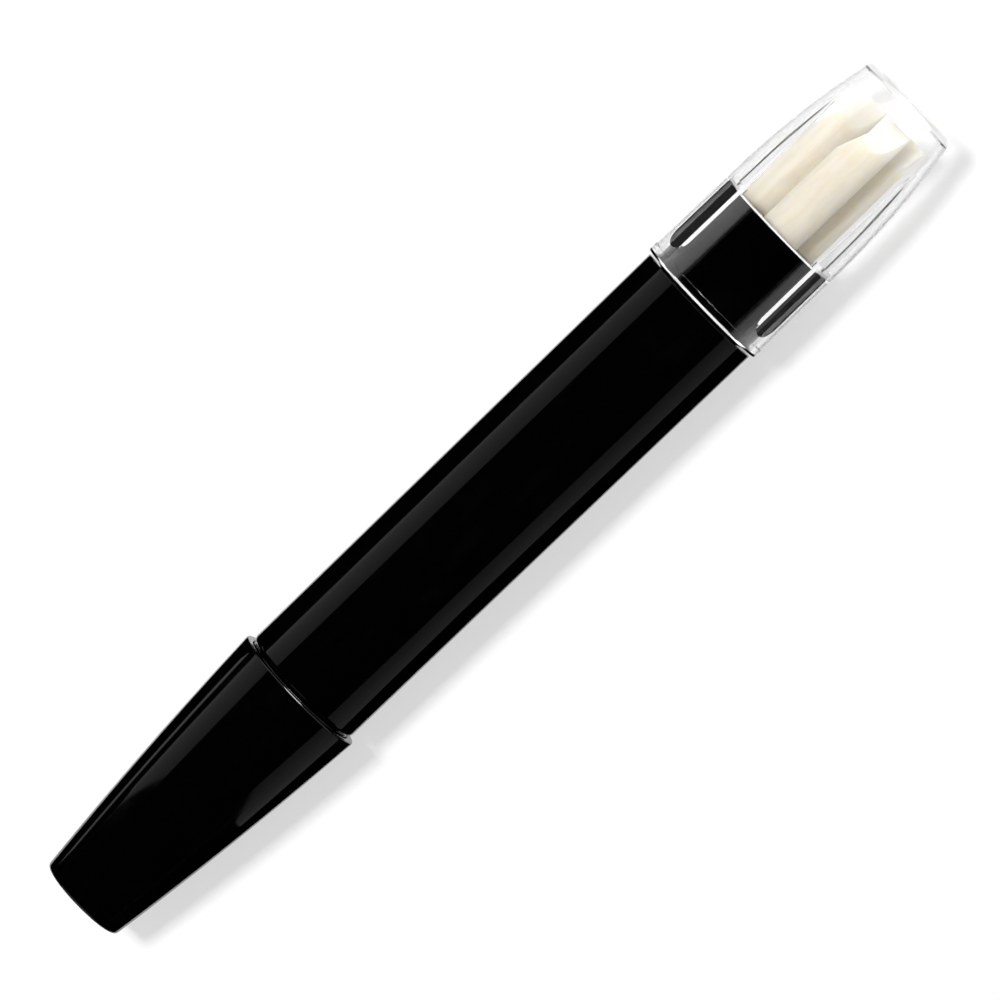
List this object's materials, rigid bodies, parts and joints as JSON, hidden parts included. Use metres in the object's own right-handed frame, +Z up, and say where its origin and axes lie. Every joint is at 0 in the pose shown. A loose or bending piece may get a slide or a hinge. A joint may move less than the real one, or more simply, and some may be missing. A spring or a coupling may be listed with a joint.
{
  "type": "nail polish corrector pen",
  "caption": "Stick pen with a felt nib: tapered black cap over the working nib, straight black barrel, and a clear cap over spare felt nibs standing in a black holder",
  "frame": {"origin": "half way along the pen, on the surface that it lies on, under its axis", "axes": "+X runs along the pen towards the clear cap, +Z is up, away from the surface that the pen lies on"},
  "size_m": [0.1324, 0.0172, 0.0173],
  "materials": {
    "barrel": "polished black polypropylene",
    "front_section": "polished black polypropylene",
    "working_nib": "pressed cream polyester felt",
    "front_cap": "polished black polypropylene",
    "front_cap_seal": "natural soft polyethylene",
    "reservoir_core": "bonded fibre rod",
    "reservoir_wrap": "thin plain film",
    "spare_nib_holder": "polished black polypropylene",
    "spare_nib_1": "pressed cream polyester felt",
    "spare_nib_2": "pressed cream polyester felt",
    "spare_nib_3": "pressed cream polyester felt",
    "clear_cap": "clear polystyrene, polished"
  },
  "bodies": {
    "pen": {"barrel": "barrel", "front_section": "front_section", "reservoir_core": "reservoir_core", "reservoir_wrap": "reservoir_wrap", "spare_nib_holder": "spare_nib_holder"},
    "front_cap": {"front_cap": "front_cap", "front_cap_seal": "front_cap_seal"},
    "clear_cap": {"clear_cap": "clear_cap"},
    "working_nib": {"working_nib": "working_nib"},
    "spare_nib_1": {"spare_nib_1": "spare_nib_1"},
    "spare_nib_2": {"spare_nib_2": "spare_nib_2"},
    "spare_nib_3": {"spare_nib_3": "spare_nib_3"}
  },
  "joints": [
    {"name": "front_cap_slide", "type": "slide", "parent": "pen", "child": "front_cap", "axis": [-1, 0, 0], "range_m": [0, 0.06]},
    {"name": "clear_cap_slide", "type": "slide", "parent": "pen", "child": "clear_cap", "axis": [1, 0, 0], "range_m": [0, 0.06]},
    {"name": "working_nib_slide", "type": "slide", "parent": "pen", "child": "working_nib", "axis": [-1, 0, 0], "range_m": [0, 0.024]},
    {"name": "spare_nib_1_slide", "type": "slide", "parent": "pen", "child": "spare_nib_1", "axis": [1, 0, 0], "range_m": [0, 0.015]},
    {"name": "spare_nib_2_slide", "type": "slide", "parent": "pen", "child": "spare_nib_2", "axis": [1, 0, 0], "range_m": [0, 0.015]},
    {"name": "spare_nib_3_slide", "type": "slide", "parent": "pen", "child": "spare_nib_3", "axis": [1, 0, 0], "range_m": [0, 0.015]}
  ],
  "couplings": [
    {"joint": "working_nib_slide", "follows": "front_cap_slide", "ratio": 0.4},
    {"joint": "spare_nib_1_slide", "follows": "clear_cap_slide", "ratio": 0.25},
    {"joint": "spare_nib_2_slide", "follows": "clear_cap_slide", "ratio": 0.25},
    {"joint": "spare_nib_3_slide", "follows": "clear_cap_slide", "ratio": 0.25}
  ]
}
